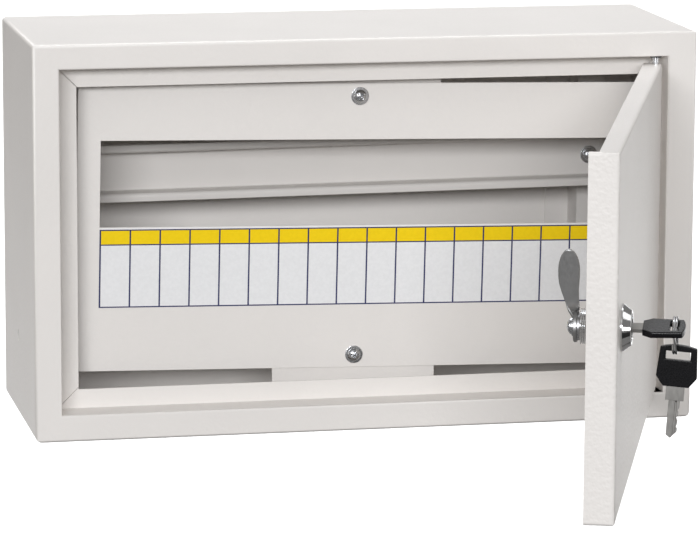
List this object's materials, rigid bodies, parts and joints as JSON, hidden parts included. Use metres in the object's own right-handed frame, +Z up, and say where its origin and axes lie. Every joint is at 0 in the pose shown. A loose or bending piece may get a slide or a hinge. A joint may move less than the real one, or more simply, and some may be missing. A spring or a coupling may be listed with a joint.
{
  "type": "distribution board enclosure",
  "caption": "Wall-mounted sheet-steel enclosure for one row of modular devices, with a windowed cover plate, a mounting rail, a hinged door with a cam lock, and two keys on a ring.",
  "frame": {"origin": "centre of the rear mounting face", "axes": "+X to the right seen from the front, +Y into the wall, +Z up"},
  "size_m": [0.4, 0.4744, 0.2375],
  "materials": {
    "paint_housing": "light grey powder coat with fine orange peel",
    "paint_fittings": "light grey powder coat",
    "paint_rail": "light grey powder coat",
    "paint_cover": "light grey powder coat with fine orange peel",
    "paint_door": "light grey powder coat with fine orange peel",
    "label_print": "printed self-adhesive label: yellow band, white cells and dark blue lines",
    "zinc_plate": "bright zinc plate",
    "entry_rubber": "soft black rubber",
    "plug_plastic": "light grey plastic",
    "bush_nylon": "black nylon",
    "lock_chrome": "polished chrome plate",
    "cylinder_steel": "nickel-plated zinc die casting",
    "lever_steel": "satin steel, slightly dark",
    "key_nickel": "nickel-plated brass",
    "key_plastic": "black moulded plastic",
    "ring_steel": "polished spring steel wire"
  },
  "bodies": {
    "cabinet": {"housing_shell": "paint_housing", "rear_panel": "paint_housing", "left_upright": "paint_fittings", "right_upright": "paint_fittings", "left_rail_riser": "paint_fittings", "right_rail_riser": "paint_fittings", "mounting_rail": "paint_rail", "rail_screws": "zinc_plate", "rail_nuts": "zinc_plate", "upper_cover_bracket": "paint_fittings", "lower_cover_bracket": "paint_fittings", "cover_plate": "paint_cover", "circuit_label": "label_print", "cover_screws": "zinc_plate", "cover_nuts": "zinc_plate", "cable_grommets": "entry_rubber", "blanking_plugs": "entry_rubber", "side_plug": "plug_plastic", "earth_stud": "zinc_plate", "earth_nut": "zinc_plate", "hinge_bushes": "bush_nylon"},
    "door": {"door_panel": "paint_door", "upper_hinge_pin": "zinc_plate", "lower_hinge_pin": "zinc_plate", "lock_barrel": "lock_chrome", "lock_washer": "zinc_plate", "lock_nut": "zinc_plate"},
    "lock_cylinder": {"lock_plug": "cylinder_steel", "cam_lever": "lever_steel", "cam_washer": "zinc_plate", "cam_screw": "zinc_plate"},
    "key": {"key_blade": "key_nickel", "key_bow": "key_plastic"},
    "key_ring": {"key_ring": "ring_steel"},
    "second_key": {"second_key_blade": "key_nickel", "second_key_bow": "key_plastic"}
  },
  "joints": [
    {"name": "door_hinge", "type": "hinge", "parent": "cabinet", "child": "door", "pos_m": [0.1756, -0.1362, 0], "axis": [0, 0, 1], "range_deg": [-70.6, 44.4]},
    {"name": "lock_turn", "type": "hinge", "parent": "door", "child": "lock_cylinder", "pos_m": [0.07097, -0.44476, 0.0009], "axis": [0.9432, -0.3322, 0], "range_deg": [-9.5, 80.5]},
    {"name": "key_withdraw", "type": "slide", "parent": "lock_cylinder", "child": "key", "axis": [0.9432, -0.3322, 0], "range_m": [0, 0.03]},
    {"name": "ring_swing", "type": "hinge", "parent": "key", "child": "key_ring", "pos_m": [0.09995, -0.44629, 0.00227], "axis": [0.9432, -0.3322, 0], "range_deg": [-33, 4.5]},
    {"name": "second_key_swing", "type": "hinge", "parent": "key_ring", "child": "second_key", "pos_m": [0.09995, -0.44629, -0.00408], "axis": [0.9432, -0.3322, 0], "range_deg": [-49, 6.5]}
  ],
  "couplings": [
    {"joint": "ring_swing", "follows": "lock_turn", "ratio": -0.4},
    {"joint": "second_key_swing", "follows": "lock_turn", "ratio": -0.6}
  ]
}
